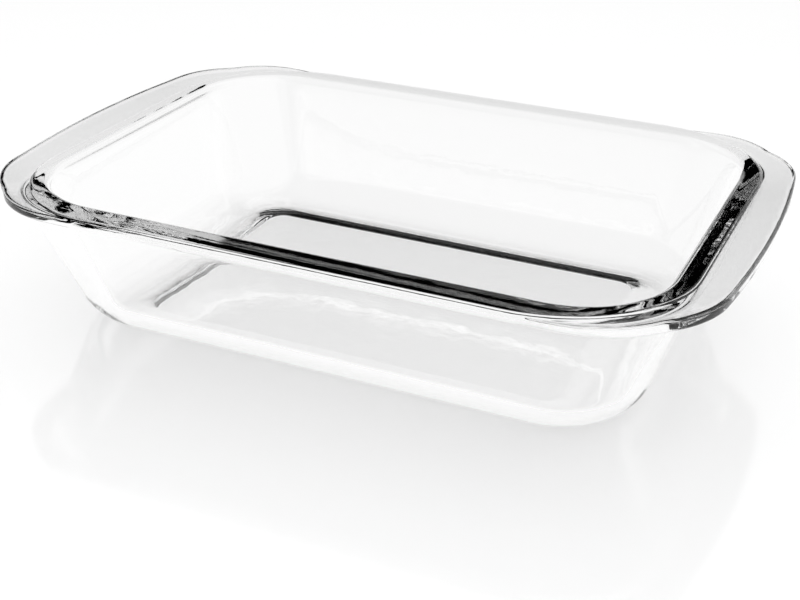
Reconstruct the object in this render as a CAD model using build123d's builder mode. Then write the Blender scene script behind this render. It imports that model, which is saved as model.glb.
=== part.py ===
from build123d import *
import os
from math import cos, radians, sqrt, tan

# Clear pressed-glass lasagna dish, one piece of glass: a deep pan with sloping
# walls, a raised rounded rim, and a flat handle tab at each end.
# X runs from handle to handle, Y across the dish and Z up. The origin is on the
# surface that the dish stands on, under the middle of the dish.
# Lengths are in millimetres and angles in degrees.

# Opening at the top of the rim, which the sizes of the walls and rim follow
opening_length = 287.0
opening_width = 199.0
opening_corner = 40.0
dish_height = 68.0

# Walls and floor
wall_lean = 17.5
cavity_side_lean = 15.4
end_wall_thickness = 9.7
side_wall_thickness = 10.4
floor_thickness = 6.0
outer_wall_corner = 41.0
outer_heel_corner = 40.0
inner_heel_corner = 32.0
outer_heel_radius = 23.0
inner_heel_radius = 18.0

# Raised rim round the opening
rim_side_width = 16.5
rim_end_width = 11.0
rim_corner = 62.0
rim_top_round = 3.0
lip_round = 3.8
rim_step = 1.0
rim_seam_round = 0.8

# Flange below the raised rim, which carries the handle tabs and rises toward them
flange_rise = 8.5
flange_side_thickness = 3.4
flange_inset = 0.4
flange_end_width = 14.0
flange_corner = 42.0
flange_under_corner = 60.0
flange_edge_round = 1.6
under_rim_fillet = 4.0

# Handle tabs
handle_reach = 27.5
handle_thickness = 5.4
handle_side_inset = 9.0
handle_bow_radius = 580.0
handle_corner = 44.0
handle_notch_fillet = 12.0

# Underside: a shallow panel inside the foot ring
foot_ring_end_width = 12.6
foot_ring_side_width = 11.5
panel_corner = 11.0
panel_depth = 0.9
panel_draft = 71.0
panel_edge_round = 0.5

# Faces steeper than this share from upright aren't part of the outline
edge_tolerance = 0.01

# How far a cutting body runs past the face that it cuts
overrun = 5.0

os.makedirs("parts", exist_ok=True)

# Places that follow from the sizes
wall_slope = tan(radians(wall_lean))
cavity_side_slope = tan(radians(cavity_side_lean))
end_wall_across = end_wall_thickness / cos(radians(wall_lean))
side_wall_across = side_wall_thickness / cos(radians(wall_lean))
flange_root_top = dish_height - rim_step
flange_side_bottom = flange_root_top - flange_side_thickness

# Outer faces of the walls, at the top of the dish and carried down to the floor plane
outer_top_length = opening_length + 2 * end_wall_across
outer_top_width = opening_width + 2 * side_wall_across
outer_heel_length = outer_top_length - 2 * wall_slope * dish_height
outer_heel_width = outer_top_width - 2 * wall_slope * dish_height

# Inner faces of the walls, carried down to the inner floor
cavity_depth = dish_height - floor_thickness
inner_heel_length = opening_length - 2 * wall_slope * cavity_depth
inner_heel_width = opening_width - 2 * cavity_side_slope * cavity_depth

# Flat of the foot, left by the heel radius
heel_tangent = outer_heel_radius * tan(radians(90 - wall_lean) / 2)
foot_length = outer_heel_length - 2 * heel_tangent
foot_width = outer_heel_width - 2 * heel_tangent
panel_length = foot_length - 2 * foot_ring_end_width
panel_width = foot_width - 2 * foot_ring_side_width

# Plan of the raised rim and of the handle tabs
rim_outer_length = opening_length + 2 * rim_end_width
rim_outer_width = opening_width + 2 * rim_side_width
handle_tip = opening_length / 2 + handle_reach
handle_half_width = rim_outer_width / 2 - handle_side_inset
handle_sagitta = handle_bow_radius - sqrt(handle_bow_radius**2 - handle_half_width**2)
handle_shoulder = handle_tip - handle_sagitta

# Sloping top and underside of the flange, each as a cone that opens upward
rise_slope = tan(radians(flange_rise))
handle_top = flange_root_top + (handle_tip - rim_outer_length / 2) * rise_slope
handle_bottom = handle_top - handle_thickness
cone_height = handle_top - flange_side_bottom + overrun
cone_spread = cone_height / rise_slope
under_length = 2 * (handle_tip - (handle_bottom - flange_side_bottom) / rise_slope)
under_width = rim_outer_width - 2 * flange_inset
under_drop = overrun
under_shrink = under_drop / rise_slope

# Cavity, as the plunger that presses it: a tapering block with a rounded heel,
# under a shoulder plate whose hollow corner shapes the lip
with BuildPart() as cavity:
    with BuildSketch(Plane.XY.offset(floor_thickness)) as cavity_foot:
        RectangleRounded(inner_heel_length, inner_heel_width, inner_heel_corner)
    with BuildSketch(Plane.XY.offset(dish_height)) as cavity_mouth:
        RectangleRounded(opening_length, opening_width, opening_corner)
    loft(ruled=True)
    fillet(cavity.faces().sort_by(Axis.Z)[0].edges(), radius=inner_heel_radius)
    with BuildSketch(Plane.XY.offset(dish_height)) as shoulder_plan:
        RectangleRounded(
            opening_length + 2 * lip_round,
            opening_width + 2 * lip_round,
            opening_corner + lip_round,
        )
    extrude(amount=overrun)
    shoulder = cavity.faces().filter_by(Plane.XY).sort_by(Axis.Z)[-2]
    fillet(shoulder.inner_wires()[0].edges(), radius=lip_round)

# Shallow panel that leaves the foot ring
with BuildPart() as panel:
    with BuildSketch(Plane.XY) as panel_plan:
        RectangleRounded(panel_length, panel_width, panel_corner)
    extrude(amount=panel_depth, taper=panel_draft)
    fillet(panel.faces().sort_by(Axis.Z)[-1].edges(), radius=panel_edge_round)

# Raised rim, as a solid plate that the cavity is cut from later
with BuildPart() as raised_rim:
    with BuildSketch(Plane.XY.offset(flange_side_bottom)) as rim_plan:
        RectangleRounded(rim_outer_length, rim_outer_width, rim_corner)
    extrude(amount=dish_height - flange_side_bottom)
    fillet(raised_rim.faces().sort_by(Axis.Z)[-1].edges(), radius=rim_top_round)
    fillet(raised_rim.faces().sort_by(Axis.Z)[0].edges(), radius=rim_seam_round)

# Space above the flange
with BuildPart() as above_flange:
    with BuildSketch(Plane.XY.offset(flange_root_top)) as above_foot:
        RectangleRounded(rim_outer_length, rim_outer_width, rim_corner)
    with BuildSketch(Plane.XY.offset(flange_root_top + cone_height)) as above_mouth:
        RectangleRounded(
            rim_outer_length + 2 * cone_spread,
            rim_outer_width + 2 * cone_spread,
            rim_corner + cone_spread,
        )
    loft(ruled=True)

# Flange with both handle tabs
with BuildPart() as flange:
    with BuildSketch(Plane.XY.offset(flange_side_bottom - under_drop)) as flange_plan:
        with BuildLine() as handle_outline:
            bow = ThreePointArc(
                (handle_shoulder, -handle_half_width),
                (handle_tip, 0),
                (handle_shoulder, handle_half_width),
            )
            side = Line(bow @ 1, (0, handle_half_width))
            middle = Line(side @ 1, (0, -handle_half_width))
            Line(middle @ 1, bow @ 0)
        make_face()
        fillet(flange_plan.vertices().group_by(Axis.X)[-1], radius=handle_corner)
        mirror(about=Plane.YZ)
        RectangleRounded(
            opening_length + 2 * flange_end_width,
            rim_outer_width - 2 * flange_inset,
            flange_corner,
        )
        notches = flange_plan.vertices().filter_by(
            lambda v: opening_length / 2 < abs(v.X) < opening_length / 2 + flange_end_width
        )
        fillet(notches, radius=handle_notch_fillet)
    extrude(amount=cone_height + under_drop)
    # Underside, rising outward
    with BuildSketch(Plane.XY.offset(flange_side_bottom - under_drop)) as under_foot:
        RectangleRounded(
            under_length - 2 * under_shrink,
            under_width - 2 * under_shrink,
            flange_under_corner - under_shrink,
        )
    with BuildSketch(Plane.XY.offset(flange_side_bottom + cone_height)) as under_mouth:
        RectangleRounded(
            under_length + 2 * cone_spread,
            under_width + 2 * cone_spread,
            flange_under_corner + cone_spread,
        )
    loft(ruled=True, mode=Mode.INTERSECT)
    add(above_flange.part, mode=Mode.SUBTRACT)
    # Rounded edges, all the way round the outline
    outline_faces = flange.faces().filter_by(lambda face: abs(face.normal_at().Z) < edge_tolerance)
    outline_edges = outline_faces.edges().filter_by(Axis.Z, reverse=True)
    fillet(outline_edges, radius=flange_edge_round)

# The dish itself
with BuildPart() as glass_dish:
    with BuildSketch(Plane.XY) as body_foot:
        RectangleRounded(outer_heel_length, outer_heel_width, outer_heel_corner)
    with BuildSketch(Plane.XY.offset(dish_height - rim_top_round)) as body_top:
        RectangleRounded(
            outer_top_length - 2 * wall_slope * rim_top_round,
            outer_top_width - 2 * wall_slope * rim_top_round,
            outer_wall_corner,
        )
    loft(ruled=True)
    fillet(glass_dish.faces().sort_by(Axis.Z)[0].edges(), radius=outer_heel_radius)
    add(flange.part)
    # Hollow under the rim, where the flange runs into the walls
    fillet(glass_dish.edges(Select.NEW), radius=under_rim_fillet)
    add(raised_rim.part)
    add(cavity.part, mode=Mode.SUBTRACT)
    add(panel.part, mode=Mode.SUBTRACT)

glass_dish.part.label = "glass_dish"
export_step(glass_dish.part, "parts/glass_dish.step")
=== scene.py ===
"""Looks of a clear pressed-glass lasagna dish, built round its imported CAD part.

The dish is one pressing of soda-lime glass. This script rebuilds its skin as one smooth
mesh on the CAD part's sizes, gives it the glass, and sets up the studio: a glossy white
table in bright, low surroundings, with the dark studio overhead that draws the black
lines in the rim. Lengths are metres and angles radians, in the frame of the CAD part.
"""

from __future__ import annotations

import logging
import math
from dataclasses import dataclass, field
from enum import Enum

import bmesh
import bpy
import numpy as np
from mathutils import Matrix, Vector


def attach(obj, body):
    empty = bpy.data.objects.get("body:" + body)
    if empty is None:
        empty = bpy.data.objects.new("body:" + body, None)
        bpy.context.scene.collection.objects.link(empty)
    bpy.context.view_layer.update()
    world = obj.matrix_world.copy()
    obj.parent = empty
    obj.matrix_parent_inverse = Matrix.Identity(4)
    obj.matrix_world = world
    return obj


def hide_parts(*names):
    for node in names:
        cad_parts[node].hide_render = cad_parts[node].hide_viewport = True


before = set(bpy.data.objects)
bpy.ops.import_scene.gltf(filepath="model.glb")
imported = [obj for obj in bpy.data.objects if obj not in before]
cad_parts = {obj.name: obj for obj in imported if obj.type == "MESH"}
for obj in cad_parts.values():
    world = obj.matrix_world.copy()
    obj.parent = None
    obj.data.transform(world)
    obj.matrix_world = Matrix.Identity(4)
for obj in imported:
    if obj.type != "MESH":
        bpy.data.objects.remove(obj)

LOG = logging.getLogger("lasagna_dish")
MM = 0.001
QUARTER_TURN = math.pi / 2
# A ray with less than this part of its direction along an axis runs square to the axis
LEAST_SLOPE = 1e-12
# Strength at which a light renders as white
WHITE_LEVEL = 1.0
# Number of diffuse bounces, between none and one, above which a ray counts as scattered
SCATTERED = 0.5


def linear(hex_colour: str) -> tuple[float, float, float, float]:
    """Turn an sRGB hex colour into the linear values that shader sockets take.

    Args:
        hex_colour: colour as written on screen, such as "#F4F7F5".

    Returns:
        Red, green, blue and an alpha of one.
    """
    # The sRGB curve is straight at its foot and a power above it
    full, foot_end, foot_slope, offset, power = 255, 0.04045, 12.92, 0.055, 2.4
    parts = [part / full for part in bytes.fromhex(hex_colour.lstrip("#"))]
    red, green, blue = (
        c / foot_slope if c <= foot_end else ((c + offset) / (1 + offset)) ** power for c in parts
    )
    return (red, green, blue, 1.0)


def add_node(
    tree: bpy.types.NodeTree,
    kind: str,
    links: dict[str | int, object] | None = None,
    **settings: object,
) -> bpy.types.Node:
    """Add one shader node, set its values and link its inputs.

    Args:
        tree: node tree that gets the node.
        kind: Blender's name for the node type.
        links: output socket or plain value for each input, by input name or number.
        settings: attributes of the node itself.

    Returns:
        The new node.
    """
    node = tree.nodes.new(kind)
    for name, value in settings.items():
        setattr(node, name, value)
    for name, value in (links or {}).items():
        if isinstance(value, bpy.types.NodeSocket):
            tree.links.new(value, node.inputs[name])
        else:
            node.inputs[name].default_value = value
    return node


def new_material(name: str) -> tuple[bpy.types.Material, bpy.types.NodeTree]:
    """Make an empty node material.

    Args:
        name: name of the material.

    Returns:
        The material and its cleared node tree.
    """
    material = bpy.data.materials.new(name)
    material.use_nodes = True
    material.node_tree.nodes.clear()
    return material, material.node_tree


def reach_line(gap: np.ndarray, way: np.ndarray) -> np.ndarray:
    """Find how far each ray runs before it has crossed a gap along one axis.

    Args:
        gap: distance to the line along the axis.
        way: part of each ray's unit direction along the axis.

    Returns:
        Distance along each ray, infinite where the ray doesn't approach the line.
    """
    with np.errstate(divide="ignore", invalid="ignore"):
        return np.where(way > LEAST_SLOPE, gap / way, np.inf)


def reach_circle(
    start: np.ndarray, way: np.ndarray, centre: np.ndarray, radius: float | np.ndarray
) -> np.ndarray:
    """Find how far each ray runs until it leaves a circle.

    Args:
        start: ray origins, one row each.
        way: unit directions of the rays.
        centre: centre of the circle, one for all or one row each.
        radius: radius of the circle, one for all or one each.

    Returns:
        Distance along each ray.
    """
    away = start - centre
    along = np.sum(away * way, axis=1)
    outside = np.sum(away * away, axis=1) - radius**2
    return -along + np.sqrt(np.maximum(along * along - outside, 0))


@dataclass(frozen=True)
class Plan:
    """A rounded rectangle seen from above, by its half sizes and corner radius."""

    half_x: float | np.ndarray
    half_y: float | np.ndarray
    corner: float | np.ndarray

    def grown(self, by: float) -> Plan:
        """Return the parallel outline that lies `by` further out."""
        return Plan(self.half_x + by, self.half_y + by, self.corner + by)

    def hit(self, start: np.ndarray, way: np.ndarray) -> np.ndarray:
        """Find how far each ray runs from inside the outline to the outline.

        Args:
            start: ray origins in the first quadrant, one row each.
            way: unit directions of the rays.

        Returns:
            Distance along each ray.
        """
        to_end = reach_line(self.half_x - start[:, 0], way[:, 0])
        to_side = reach_line(self.half_y - start[:, 1], way[:, 1])
        flat = np.minimum(to_end, to_side)
        spot = start + way * flat[:, None]
        centre = np.zeros_like(start) + np.c_[self.half_x - self.corner, self.half_y - self.corner]
        in_corner = np.all(spot > centre, axis=1)
        return np.where(in_corner, reach_circle(start, way, centre, self.corner), flat)

    def outside(self, spots: np.ndarray) -> np.ndarray:
        """Return how far each point lies outside the outline, negative inside."""
        reach = np.abs(spots) - np.array([self.half_x - self.corner, self.half_y - self.corner])
        far = np.linalg.norm(np.maximum(reach, 0), axis=1)
        return far + np.minimum(np.max(reach, axis=1), 0) - self.corner


@dataclass(frozen=True)
class Taper:
    """A block whose plan changes evenly from one rounded rectangle to another."""

    low: Plan
    high: Plan
    low_z: float
    high_z: float

    def plan(self, z: np.ndarray | float) -> Plan:
        """Return the block's outline at height z."""
        share = (z - self.low_z) / (self.high_z - self.low_z)
        low, high = self.low, self.high
        return Plan(
            low.half_x + (high.half_x - low.half_x) * share,
            low.half_y + (high.half_y - low.half_y) * share,
            low.corner + (high.corner - low.corner) * share,
        )


class Fold(Enum):
    """Way in which a bend leaves its level plane, by the sign of its rise."""

    UP_AND_OUT = 1
    DOWN_AND_IN = -1


@dataclass(frozen=True)
class Bend:
    """The rounding that a ball leaves as it rolls between a block's walls and a level plane."""

    block: Taper
    radius: float
    plane_z: float
    fold: Fold
    arc_points: int = 181

    def line(self, share: float) -> np.ndarray:
        """Find one of the lines that run round the dish along the bend.

        Args:
            share: place on the bend, zero at the plane and one at the wall.

        Returns:
            Points from the middle of one end round the corner to the middle of one side.
        """
        low, high = self.block.low, self.block.high
        tall = self.block.high_z - self.block.low_z
        up = self.fold.value
        corner_rate = (high.corner - low.corner) / tall
        rate_x = (high.half_x - low.half_x) / tall - corner_rate
        rate_y = (high.half_y - low.half_y) / tall - corner_rate
        turn = np.linspace(0, QUARTER_TURN, self.arc_points)
        along, across = np.cos(turn), np.sin(turn)
        # Round a corner the wall's lean runs from that of the end to that of the side
        lean = np.arctan(rate_x * along + rate_y * across + corner_rate)
        touch = self.block.plan(self.plane_z + up * self.radius * (1 - np.sin(lean)))
        rolled = share * (QUARTER_TURN - lean)
        reach = touch.corner - up * self.radius * (np.cos(lean) - np.sin(rolled))
        x = touch.half_x - touch.corner + reach * along
        y = touch.half_y - touch.corner + reach * across
        z = self.plane_z + up * self.radius * (1 - np.cos(rolled))
        line = np.c_[x, y, z]
        to_end, to_side = line[:1] * [1, 0, 1], line[-1:] * [0, 1, 1]
        return np.concatenate([to_end, line, to_side])


@dataclass
class GlassDish:
    """The pressed dish: pan, raised rim, flange and handle tabs in one skin of glass.

    The skin is laid as closed loops of points, from the middle of the underside out to the
    flange's edge and back in to the middle of the pan's floor. Each loop has a point on each
    of the rays, which fan out from an inner rectangle, the hub.
    """

    # Opening and height
    opening_length: float = 287 * MM
    opening_width: float = 199 * MM
    opening_corner: float = 40 * MM
    height: float = 68 * MM
    # Walls and floor
    wall_lean: float = math.radians(17.5)
    cavity_side_lean: float = math.radians(15.4)
    end_wall: float = 9.7 * MM
    side_wall: float = 10.4 * MM
    floor: float = 6 * MM
    outer_wall_corner: float = 41 * MM
    outer_heel_corner: float = 40 * MM
    inner_heel_corner: float = 32 * MM
    outer_heel_round: float = 23 * MM
    inner_heel_round: float = 18 * MM
    # Raised rim
    rim_side: float = 16.5 * MM
    rim_end: float = 11 * MM
    rim_corner: float = 62 * MM
    rim_round: float = 3 * MM
    lip_round: float = 3.8 * MM
    rim_step: float = 1 * MM
    seam_round: float = 0.8 * MM
    # Flange and handle tabs
    flange_rise: float = math.radians(8.5)
    flange_side: float = 3.4 * MM
    flange_inset: float = 0.4 * MM
    flange_end: float = 14 * MM
    flange_corner: float = 42 * MM
    under_corner: float = 60 * MM
    edge_round: float = 1.6 * MM
    under_rim_round: float = 4 * MM
    handle_reach: float = 27.5 * MM
    handle_thick: float = 5.4 * MM
    handle_inset: float = 9 * MM
    handle_bow: float = 580 * MM
    handle_corner: float = 44 * MM
    notch_blend: float = 0.55 * MM
    # Underside
    foot_end: float = 12.6 * MM
    foot_side: float = 11.5 * MM
    panel_corner: float = 11 * MM
    panel_depth: float = 0.9 * MM
    panel_draft: float = math.radians(71)
    panel_round: float = 0.5 * MM
    # Rays of a quarter of the dish: along half an end, round the corner and along half a side
    end_steps: int = 22
    corner_steps: int = 52
    side_steps: int = 26
    hub_corner: float = 3 * MM
    # Loops on each part of the skin
    panel_bend_steps: int = 5
    heel_steps: int = 22
    wall_steps: int = 14
    hollow_steps: int = 8
    under_flange_steps: int = 7
    edge_steps: int = 8
    top_flange_steps: int = 5
    rim_bend_steps: int = 10
    rim_top_steps: int = 5
    lip_steps: int = 12
    # Rounds of the search for the place where the wall meets the underside of the flange
    meeting_rounds: int = 12
    # Points closer than this become one, and sharper edges than this aren't smoothed
    weld: float = 0.002 * MM
    crease_angle: float = math.radians(25)
    loops: list[np.ndarray] = field(default_factory=list, init=False, repr=False)

    def __post_init__(self) -> None:
        """Work out the places that follow from the sizes."""
        half_x, half_y = self.opening_length / 2, self.opening_width / 2
        self.opening = Plan(half_x, half_y, self.opening_corner)
        self.ring = Plan(half_x + self.rim_end, half_y + self.rim_side, self.rim_corner)
        plate_half_y = self.ring.half_y - self.flange_inset
        self.plate = Plan(half_x + self.flange_end, plate_half_y, self.flange_corner)
        # Flange's top and underside where they leave the rim, and at the tip of a handle tab
        self.rise = math.tan(self.flange_rise)
        self.root_top = self.height - self.rim_step
        self.side_bottom = self.root_top - self.flange_side
        self.tip = half_x + self.handle_reach
        self.handle_half = self.ring.half_y - self.handle_inset
        tip_top = self.root_top + (self.tip - self.ring.half_x) * self.rise
        under_x = self.tip - (tip_top - self.handle_thick - self.side_bottom) / self.rise
        self.under = Plan(under_x, plate_half_y, self.under_corner)
        # Height of the flange's top above the foot of the rim's outer rounding
        self.round_hidden = self.rim_round - self.rim_step
        self.set_rays()
        self.set_blocks()

    def set_rays(self) -> None:
        """Start the rays on the hub, whose corners are the rim's corner centres."""
        end_x = self.ring.half_x - self.rim_corner
        side_y = self.ring.half_y - self.rim_corner
        self.hub = Plan(end_x + self.hub_corner, side_y + self.hub_corner, self.hub_corner)
        turn = np.linspace(0, QUARTER_TURN, self.corner_steps + 1)
        up_end = np.linspace(0, side_y, self.end_steps, endpoint=False)
        along_side = np.linspace(end_x, 0, self.side_steps + 1)[1:]
        starts = [
            np.c_[np.full_like(up_end, end_x), up_end],
            np.c_[np.full_like(turn, end_x), np.full_like(turn, side_y)],
            np.c_[along_side, np.full_like(along_side, side_y)],
        ]
        ways = [
            np.tile([1.0, 0.0], (len(up_end), 1)),
            np.c_[np.cos(turn), np.sin(turn)],
            np.tile([0.0, 1.0], (len(along_side), 1)),
        ]
        self.start, self.way = np.concatenate(starts), np.concatenate(ways)

    def set_blocks(self) -> None:
        """Shape the block of the outer walls, the plunger of the inner ones, and their bends."""
        slope, across = math.tan(self.wall_lean), 1 / math.cos(self.wall_lean)
        tops = (
            self.opening.half_x + self.end_wall * across,
            self.opening.half_y + self.side_wall * across,
        )
        feet = [half - slope * self.height for half in tops]
        shoulders = [half - slope * self.rim_round for half in tops]
        self.body = Taper(
            Plan(*feet, self.outer_heel_corner),
            Plan(*shoulders, self.outer_wall_corner),
            0.0,
            self.height - self.rim_round,
        )
        deep = self.height - self.floor
        floor_x = self.opening.half_x - slope * deep
        floor_y = self.opening.half_y - math.tan(self.cavity_side_lean) * deep
        floor_plan = Plan(floor_x, floor_y, self.inner_heel_corner)
        self.plunger = Taper(floor_plan, self.opening, self.floor, self.height)
        self.outer_heel = Bend(self.body, self.outer_heel_round, 0.0, Fold.UP_AND_OUT)
        self.inner_heel = Bend(self.plunger, self.inner_heel_round, self.floor, Fold.UP_AND_OUT)
        self.lip = Bend(self.plunger, self.lip_round, self.height, Fold.DOWN_AND_IN)

    def follow(self, line: np.ndarray) -> tuple[np.ndarray, np.ndarray]:
        """Find where the rays cross a line that runs round a quarter of the dish.

        Args:
            line: points from the middle of one end round the corner to the middle of one side.

        Returns:
            Distance along each ray, and the height there.
        """
        # Points of the line lie left of a ray once the line has crossed it
        from_start = line[None, :, :2] - self.start[:, None]
        left = self.way[:, :1] * from_start[:, :, 1] - self.way[:, 1:] * from_start[:, :, 0]
        last = np.clip(np.argmax(left >= 0, axis=1), 1, None)
        row = np.arange(len(last))
        before, after = left[row, last - 1], left[row, last]
        step = after - before
        mix = np.where(step > 0, -before / np.where(step > 0, step, 1), 0)
        spot = line[last - 1] + (line[last] - line[last - 1]) * mix[:, None]
        return np.sum((spot[:, :2] - self.start) * self.way, axis=1), spot[:, 2]

    def flange_reach(self) -> np.ndarray:
        """Return how far out the flange and its handle tab reach along each ray."""
        bow_centre = np.array([self.tip - self.handle_bow, 0.0])
        bow = reach_circle(self.start, self.way, bow_centre, self.handle_bow)
        side = reach_line(self.handle_half - self.start[:, 1], self.way[:, 1])
        # The tab's corner touches the bow from inside, and the tab's side
        inner = self.handle_bow - self.handle_corner
        corner_y = self.handle_half - self.handle_corner
        corner_x = bow_centre[0] + math.sqrt(inner**2 - corner_y**2)
        corner_centre = np.array([corner_x, corner_y])
        arc = reach_circle(self.start, self.way, corner_centre, self.handle_corner)
        bow_end_y = corner_y * self.handle_bow / inner
        tab = np.minimum(bow, side)
        spot = self.start + self.way * tab[:, None]
        tab = np.where((spot[:, 0] > corner_x) & (spot[:, 1] > bow_end_y), arc, tab)
        plate = self.plate.hit(self.start, self.way)
        # Where tab and plate reach equally far, a parabola fills a quarter of the blend
        near = np.maximum(self.notch_blend - np.abs(tab - plate), 0) / self.notch_blend
        return np.maximum(tab, plate) + near**2 * self.notch_blend / 4

    def add_loop(self, reach: np.ndarray, z: np.ndarray | float) -> None:
        """Add one closed loop of points to the skin.

        Args:
            reach: distance of each point along its ray.
            z: height of the points, one for all or one each.
        """
        spot = self.start + self.way * reach[:, None]
        height = np.broadcast_to(z, reach.shape)
        quarter = np.c_[spot, height]
        left = quarter[::-1][1:] * [-1, 1, 1]
        half = np.concatenate([quarter, left])
        back = half[::-1][1:-1] * [1, -1, 1]
        self.loops.append(np.concatenate([half, back]))

    def add_plan(self, plan: Plan, z: np.ndarray | float) -> None:
        """Add the loop of a rounded rectangle at height z."""
        self.add_loop(plan.hit(self.start, self.way), z)

    def foot_panel(self) -> None:
        """Lay the shallow panel under the floor, as far as the foot ring."""
        foot_drop = self.outer_heel_round * math.tan((QUARTER_TURN - self.wall_lean) / 2)
        foot = self.body.low.grown(-foot_drop)
        panel = Plan(foot.half_x - self.foot_end, foot.half_y - self.foot_side, self.panel_corner)
        self.add_plan(self.hub, self.panel_depth)
        flank = self.panel_depth * math.tan(self.panel_draft)
        steep = QUARTER_TURN - self.panel_draft
        soft = self.panel_round * math.tan(steep / 2)
        for turn in np.linspace(0, steep, self.panel_bend_steps):
            drop = self.panel_round * (1 - math.cos(turn))
            out = self.panel_round * math.sin(turn) - soft
            self.add_plan(panel.grown(out - flank), self.panel_depth - drop)
        self.add_plan(panel, 0)

    def outer_wall(self) -> None:
        """Lay the outer heel, the wall, and the hollow where it runs into the flange."""
        for share in np.linspace(0, 1, self.heel_steps):
            reach, low = self.follow(self.outer_heel.line(share))
            self.add_loop(reach, low)
        # Straight wall, from where the heel ends up to the hollow
        meet_z, meet = self.under_rim_corner()
        lean, rise = self.lean_along_rays(meet_z), self.flange_rise
        half_open = (QUARTER_TURN + lean + rise) / 2
        top_z = meet_z - np.cos(lean) * self.under_rim_round / np.tan(half_open)
        for share in np.linspace(0, 1, self.wall_steps)[1:]:
            z = low + (top_z - low) * share
            self.add_plan(self.body.plan(z), z)
        # Hollow, round a centre in the air below the flange
        between = (rise - lean - QUARTER_TURN) / 2
        off = self.under_rim_round / np.sin(half_open)
        centre, centre_z = meet + off * np.cos(between), meet_z + off * np.sin(between)
        for share in np.linspace(0, 1, self.hollow_steps)[1:]:
            turn = math.pi - lean - share * (QUARTER_TURN - lean - rise)
            reach = centre + self.under_rim_round * np.cos(turn)
            self.add_loop(reach, centre_z + self.under_rim_round * np.sin(turn))

    def lean_along_rays(self, z: np.ndarray) -> np.ndarray:
        """Return how far the outer wall leans outward along each ray at height z."""
        low, high = (self.body.plan(z + step).hit(self.start, self.way) for step in (-MM, MM))
        return np.arctan((high - low) / (2 * MM))

    def under_flange_z(self, reach: np.ndarray) -> np.ndarray:
        """Return the height of the flange's underside at a distance along each ray."""
        spots = self.start + self.way * reach[:, None]
        return self.side_bottom + self.rise * self.under.outside(spots)

    def under_rim_corner(self) -> tuple[np.ndarray, np.ndarray]:
        """Find where the wall's outer face meets the underside of the flange.

        Returns:
            Height of that place on each ray, and its distance along the ray.
        """
        z = np.full(len(self.start), self.side_bottom)
        for _ in range(self.meeting_rounds):
            reach = self.body.plan(z).hit(self.start, self.way)
            z = self.under_flange_z(reach)
        return z, reach

    def flange(self) -> None:
        """Lay the flange: underside, rounded edge and top, up to the raised rim."""
        edge = self.flange_reach()
        ring = self.ring.hit(self.start, self.way)
        last_quarter = self.loops[-1][: len(edge), :2]
        inner = np.linalg.norm(last_quarter - self.start, axis=1)
        for share in np.linspace(0, 1, self.under_flange_steps)[1:-1]:
            reach = inner + (edge - self.edge_round - inner) * share
            self.add_loop(reach, self.under_flange_z(reach))
        # Rounded edge, from below and then from above
        under_z = self.under_flange_z(edge)
        top_z = self.root_top + self.rise * np.maximum(edge - ring, 0)
        bend = np.linspace(0, QUARTER_TURN, self.edge_steps)
        for turn in bend:
            back = self.edge_round * (1 - math.sin(turn))
            z = under_z + self.edge_round * (1 - math.cos(turn)) - self.rise * back
            self.add_loop(self.clear_of_ring(edge - back, z, ring), z)
        for turn in bend:
            back = self.edge_round * (1 - math.cos(turn))
            drop = self.edge_round * (1 - math.sin(turn))
            z = np.maximum(top_z - drop - self.rise * back, self.root_top - drop)
            self.add_loop(self.clear_of_ring(edge - back, z, ring), z)
        # Top, in to the crease at the rim's outer rounding
        crease = ring - self.rim_round + math.sqrt(self.rim_round**2 - self.round_hidden**2)
        outer = np.maximum(edge - self.edge_round, crease)
        for share in np.linspace(0, 1, self.top_flange_steps)[1:]:
            reach = outer + (crease - outer) * share
            z = self.root_top + self.rise * np.maximum(reach - ring, 0)
            self.add_loop(reach, z)

    def clear_of_ring(self, reach: np.ndarray, z: np.ndarray, ring: np.ndarray) -> np.ndarray:
        """Push points of the flange's edge out to the raised rim's side where they lie inside it.

        Args:
            reach: distance of each point along its ray.
            z: height of the points.
            ring: distance of the raised rim's side along each ray.

        Returns:
            The distances, none of them inside the rim.
        """
        top_centre = self.height - self.rim_round
        seam_centre = self.side_bottom + self.seam_round
        above = np.clip(z - top_centre, 0, self.rim_round)
        below = np.clip(seam_centre - z, 0, self.seam_round)
        side = ring - self.rim_round + np.sqrt(self.rim_round**2 - above**2)
        side = side - self.seam_round + np.sqrt(self.seam_round**2 - below**2)
        return np.maximum(reach, np.where(z >= self.side_bottom, side, 0))

    def raised_rim(self) -> None:
        """Lay the raised rim's outer rounding, its flat top and the lip."""
        start = math.asin(self.round_hidden / self.rim_round)
        for turn in np.linspace(start, QUARTER_TURN, self.rim_bend_steps)[1:]:
            out = self.rim_round * (math.cos(turn) - 1)
            z = self.height - self.rim_round * (1 - math.sin(turn))
            self.add_plan(self.ring.grown(out), z)
        lip = [self.follow(self.lip.line(share)) for share in np.linspace(0, 1, self.lip_steps)]
        lip_out = lip[0][0]
        flat_out = self.ring.grown(-self.rim_round).hit(self.start, self.way)
        for share in np.linspace(0, 1, self.rim_top_steps)[1:-1]:
            self.add_loop(flat_out + (lip_out - flat_out) * share, self.height)
        for reach, z in lip:
            self.add_loop(reach, z)

    def cavity(self) -> None:
        """Lay the inner wall, the inner heel and the floor of the pan."""
        shares = np.linspace(1, 0, self.heel_steps)
        heel = [self.follow(self.inner_heel.line(share)) for share in shares]
        high, low = self.follow(self.lip.line(1))[1], heel[0][1]
        for share in np.linspace(0, 1, self.wall_steps)[1:-1]:
            z = high + (low - high) * share
            self.add_plan(self.plunger.plan(z), z)
        for reach, z in heel:
            self.add_loop(reach, z)
        self.add_plan(self.hub, self.floor)

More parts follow.
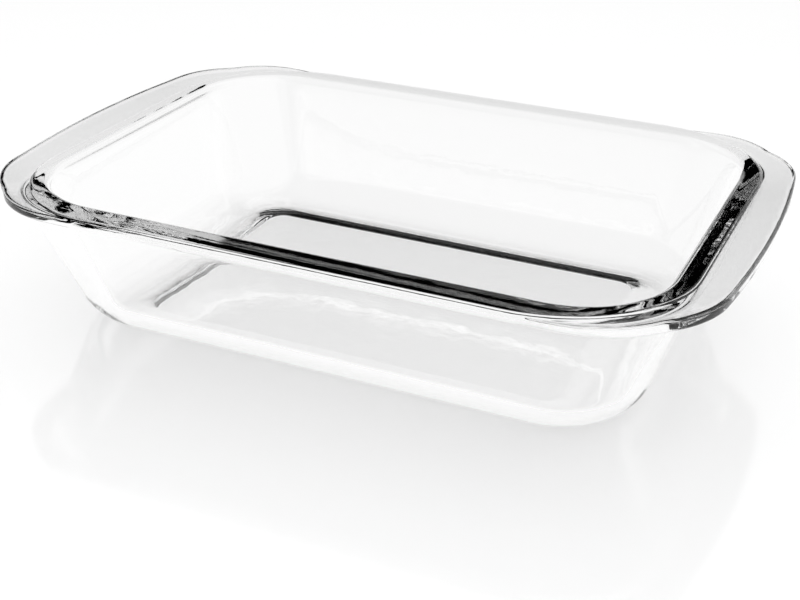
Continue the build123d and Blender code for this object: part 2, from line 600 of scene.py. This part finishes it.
    def build(self) -> bpy.types.Object:
        """Build the skin of the dish as one closed, smooth mesh.

        Returns:
            The mesh object, in place of the CAD node.
        """
        self.foot_panel()
        self.outer_wall()
        self.flange()
        self.raised_rim()
        self.cavity()
        points = np.concatenate(self.loops)
        count = len(self.loops[0])
        last = len(points) - count
        faces = [
            (low + i, low + count + i, low + count + (i + 1) % count, low + (i + 1) % count)
            for low in range(0, last, count)
            for i in range(count)
        ]
        # Both hubs, under the panel and on the pan's floor
        faces.append(tuple(range(count)))
        faces.append(tuple(range(last + count - 1, last - 1, -1)))
        mesh = bpy.data.meshes.new("pressed_glass_dish")
        mesh.from_pydata([tuple(point) for point in points], [], faces)
        edit = bmesh.new()
        edit.from_mesh(mesh)
        bmesh.ops.remove_doubles(edit, verts=edit.verts, dist=self.weld)
        bmesh.ops.recalc_face_normals(edit, faces=edit.faces)
        edit.to_mesh(mesh)
        edit.free()
        mesh.shade_smooth()
        mesh.set_sharp_from_angle(angle=self.crease_angle)
        dish = bpy.data.objects.new("pressed_glass_dish", mesh)
        bpy.context.scene.collection.objects.link(dish)
        return dish

    def dress(self, dish: bpy.types.Object) -> None:
        """Give the dish its glass, and put it in place of the CAD node.

        Args:
            dish: the skin that `build` made.
        """
        dish.data.materials.append(PressedGlass().build())
        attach(dish, "root")
        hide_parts("glass_dish")


@dataclass(frozen=True)
class Waves:
    """Slight waves in a surface, as bump, by their length and height.

    `detail` and `roughness` say how much finer unevenness rides on them.
    """

    length: float
    height: float
    detail: float
    roughness: float


@dataclass(frozen=True)
class PressedGlass:
    """Clear soda-lime glass, pressed in an iron mould and fire-polished.

    The eye gets a colourless body with a bright, sharp gloss. Very slight waves, which the
    mould's chill leaves and the polish doesn't take away, break up the dark lines in the rim.
    """

    tint: str = "#FFFFFF"
    ior: float = 1.52
    gloss: float = 0.0
    clear: float = 1.0
    broad: Waves = Waves(length=11 * MM, height=0.06 * MM, detail=1.0, roughness=0.4)
    fine: Waves = Waves(length=3 * MM, height=0.01 * MM, detail=2.0, roughness=0.5)

    def build(self) -> bpy.types.Material:
        """Build the glass.

        Returns:
            The material, with its waves as bump.
        """
        material, tree = new_material("clear_pressed_glass")
        place = add_node(tree, "ShaderNodeTexCoord")
        surface = {}
        for waves in (self.broad, self.fine):
            noise = add_node(
                tree,
                "ShaderNodeTexNoise",
                {
                    "Vector": place.outputs["Object"],
                    "Scale": 1 / waves.length,
                    "Detail": waves.detail,
                    "Roughness": waves.roughness,
                },
            )
            bump = {"Height": noise.outputs["Fac"], "Distance": waves.height, **surface}
            surface = {"Normal": add_node(tree, "ShaderNodeBump", bump).outputs["Normal"]}
        shader = add_node(
            tree,
            "ShaderNodeBsdfPrincipled",
            {
                "Base Color": linear(self.tint),
                "IOR": self.ior,
                "Roughness": self.gloss,
                "Transmission Weight": self.clear,
                **surface,
            },
        )
        add_node(tree, "ShaderNodeOutputMaterial", {"Surface": shader.outputs["BSDF"]})
        return material


@dataclass(frozen=True)
class OpalAcrylic:
    """Opal acrylic sheet, cast between glass plates, with a glow that lights nothing.

    The eye gets a white that stays even right up to the dish, and a soft mirror image of
    the dish in the sheet's gloss. Seen through the dish the glow is almost whole: painted
    light that takes away the dish's shadow under its floor.
    """

    colour: str = "#FCFCFC"
    glow_colour: str = "#FFFFFF"
    # Above the 1.49 of plain acrylic, for a mirror image as strong as on a studio's table
    ior: float = 1.7
    gloss: float = 0.09
    # Share of glow against paint, seen straight or in a reflection, and seen through the dish, where it is
    # painted light that hides the dish's shadow
    glow: float = 0.5
    painted_glow_behind: float = 0.97

    def build(self) -> bpy.types.Material:
        """Build the sheet's material.

        Returns:
            The material, half paint and half glow under a gloss, and nearly all painted glow seen through
            the dish.
        """
        material, tree = new_material("opal_acrylic_table")
        path = add_node(tree, "ShaderNodeLightPath")
        seen = path.outputs["Is Camera Ray"]
        mirrored = path.outputs["Is Glossy Ray"]
        through = path.outputs["Is Transmission Ray"]
        direct = add_node(tree, "ShaderNodeMath", {0: seen, 1: mirrored}, operation="MAXIMUM")
        ahead = add_node(
            tree, "ShaderNodeMath", {0: direct.outputs[0], 1: self.glow}, operation="MULTIPLY"
        )
        # Painted light: through the dish the table is nearly all glow, so the dish's shadow there is
        # painted out
        behind = add_node(
            tree, "ShaderNodeMath", {0: through, 1: self.painted_glow_behind}, operation="MULTIPLY"
        )
        share = add_node(
            tree, "ShaderNodeMath", {0: ahead.outputs[0], 1: behind.outputs[0]}, operation="MAXIMUM"
        )
        paint = add_node(tree, "ShaderNodeBsdfDiffuse", {"Color": linear(self.colour)})
        glow = add_node(
            tree, "ShaderNodeEmission", {"Color": linear(self.glow_colour), "Strength": WHITE_LEVEL}
        )
        body = add_node(
            tree,
            "ShaderNodeMixShader",
            {0: share.outputs[0], 1: paint.outputs[0], 2: glow.outputs[0]},
        )
        # Rays that came through the dish see no gloss, so that its floor stays clear of the dark mirror
        # image; with the painted glow this takes the shade out of the table under the dish
        shine = add_node(tree, "ShaderNodeBsdfGlossy", {"Roughness": self.gloss})
        bright = add_node(tree, "ShaderNodeFresnel", {"IOR": self.ior})
        clear_of_dish = add_node(tree, "ShaderNodeMath", {0: 1.0, 1: through}, operation="SUBTRACT")
        bright = add_node(
            tree,
            "ShaderNodeMath",
            {0: bright.outputs[0], 1: clear_of_dish.outputs[0]},
            operation="MULTIPLY",
        )
        shader = add_node(
            tree, "ShaderNodeMixShader", {0: bright.outputs[0], 1: body.outputs[0], 2: shine.outputs[0]}
        )
        add_node(tree, "ShaderNodeOutputMaterial", {"Surface": shader.outputs["Shader"]})
        return material


@dataclass(frozen=True)
class StudioTable:
    """The wide white table that the dish stands on, a hair below its foot."""

    half: float = 3000 * MM
    drop: float = 0.2 * MM

    def build(self) -> bpy.types.Object:
        """Build the table and dress it.

        Returns:
            The table object.
        """
        mesh = bpy.data.meshes.new("table")
        half, z = self.half, -self.drop
        corners = [(-half, -half, z), (half, -half, z), (half, half, z), (-half, half, z)]
        mesh.from_pydata(corners, [], [(0, 1, 2, 3)])
        mesh.materials.append(OpalAcrylic().build())
        table = bpy.data.objects.new("table", mesh)
        bpy.context.scene.collection.objects.link(table)
        return table


@dataclass(frozen=True)
class SoftEdge:
    """The soft edge of a flag or a soft box, along one part of a ray's direction.

    It ends at `clear`, is whole at `full`, and `least` of it is left beyond its end.
    """

    clear: float
    full: float
    least: float = 0.0


@dataclass(frozen=True)
class StudioLight:
    """Light of the studio: bright low down, a dark flag overhead, and a soft light from behind."""

    colour: str = "#FFFFFF"
    # Levels that the glass sees: low down, and in the dark overhead
    sweep_level: float = 0.9
    dark_level: float = 0.005
    # The dark begins above the horizon, and is thinner over the dish's right
    dark_height: SoftEdge = SoftEdge(math.sin(math.radians(9)), math.sin(math.radians(17)))
    dark_side: SoftEdge = SoftEdge(0.12, 0.0, least=0.3)
    # Levels that light the table, from the front and from behind
    front_level: float = 1.0
    back_level: float = 1.8
    box_depth: SoftEdge = SoftEdge(-0.1, 0.6)
    # Light runs many times round inside a thick glass rim before it leaves
    light_turns: int = 14

    def build(self) -> bpy.types.World:
        """Build the world and let light turn often enough.

        Returns:
            The world, white for the camera.
        """
        world = bpy.data.worlds.new("studio")
        world.use_nodes = True
        tree = world.node_tree
        tree.nodes.clear()
        way = add_node(tree, "ShaderNodeTexCoord")
        parts = add_node(tree, "ShaderNodeSeparateXYZ", {"Vector": way.outputs["Generated"]})
        height, side, depth = (
            add_node(
                tree,
                "ShaderNodeMapRange",
                {
                    "Value": parts.outputs[axis],
                    "From Min": edge.clear,
                    "From Max": edge.full,
                    "To Min": edge.least,
                },
                interpolation_type="SMOOTHSTEP",
            ).outputs[0]
            for axis, edge in (("Z", self.dark_height), ("X", self.dark_side), ("Y", self.box_depth))
        )
        # What the glass sees
        flag = add_node(tree, "ShaderNodeMath", {0: height, 1: side}, operation="MULTIPLY")
        sky = add_node(
            tree, "ShaderNodeMix", {0: flag.outputs[0], 2: self.sweep_level, 3: self.dark_level}
        )
        # What lights the table, and the plain white for the camera and for dull reflections
        path = add_node(tree, "ShaderNodeLightPath")
        unscattered = add_node(
            tree, "ShaderNodeMath", {0: path.outputs["Diffuse Depth"], 1: SCATTERED}, operation="LESS_THAN"
        )
        soft = add_node(tree, "ShaderNodeMix", {0: depth, 2: self.front_level, 3: self.back_level})
        plain = add_node(
            tree, "ShaderNodeMix", {0: unscattered.outputs[0], 2: soft.outputs[0], 3: WHITE_LEVEL}
        )
        # Rays through the glass, and those in a perfect mirror, see the sky
        through, mirrored = path.outputs["Is Transmission Ray"], path.outputs["Is Singular Ray"]
        glassy = add_node(tree, "ShaderNodeMath", {0: through, 1: mirrored}, operation="MAXIMUM")
        bent = add_node(
            tree,
            "ShaderNodeMath",
            {0: unscattered.outputs[0], 1: glassy.outputs[0]},
            operation="MULTIPLY",
        )
        level = add_node(
            tree, "ShaderNodeMix", {0: bent.outputs[0], 2: plain.outputs[0], 3: sky.outputs[0]}
        )
        light = add_node(
            tree,
            "ShaderNodeBackground",
            {"Color": linear(self.colour), "Strength": level.outputs[0]},
        )
        add_node(tree, "ShaderNodeOutputWorld", {"Surface": light.outputs["Background"]})
        scene = bpy.context.scene
        scene.world = world
        scene.cycles.max_bounces = self.light_turns
        scene.cycles.glossy_bounces = self.light_turns
        scene.cycles.transmission_bounces = self.light_turns
        return world


@dataclass(frozen=True)
class StudioCamera:
    """The camera, at the photograph's viewing angle, aimed at the middle of the dish's foot."""

    turn: float = math.radians(24.208)
    rise: float = math.radians(26.707)
    roll: float = math.radians(0.776)
    distance: float = 664.6 * MM
    nearest: float = 10 * MM
    # Focal length and width of the picture in pixels, and Blender's sensor in its millimetres
    focal_pixels: float = 1374.0
    picture_pixels: float = 800.0
    sensor: float = 36.0

    def build(self) -> bpy.types.Object:
        """Build the camera and render through it.

        Returns:
            The camera object.
        """
        level = math.cos(self.rise)
        back = Vector((math.sin(self.turn) * level, -math.cos(self.turn) * level, math.sin(self.rise)))
        lens = bpy.data.cameras.new("camera")
        lens.sensor_width = self.sensor
        lens.lens = self.focal_pixels / self.picture_pixels * self.sensor
        lens.clip_start = self.nearest
        camera = bpy.data.objects.new("camera", lens)
        bpy.context.scene.collection.objects.link(camera)
        camera.location = back * self.distance
        look = (-back).to_track_quat("-Z", "Y").to_euler()
        look.rotate_axis("Z", self.roll)
        camera.rotation_euler = look
        bpy.context.scene.camera = camera
        return camera


def main() -> None:
    """Build the dish and the studio."""
    logging.basicConfig(level=logging.INFO, format="%(name)s: %(message)s")
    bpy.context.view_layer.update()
    glass_dish = GlassDish()
    dish = glass_dish.build()
    glass_dish.dress(dish)
    LOG.info("dish: %d faces", len(dish.data.polygons))
    table = StudioTable().build()
    LOG.info("table: %.1f m wide", table.dimensions.x)
    world = StudioLight().build()
    LOG.info("light: %d nodes in the world", len(world.node_tree.nodes))
    camera = StudioCamera().build()
    LOG.info("camera: lens of %.1f mm", camera.data.lens)
    bpy.context.scene.view_settings.view_transform = "Standard"


if __name__ == "__main__":
    main()
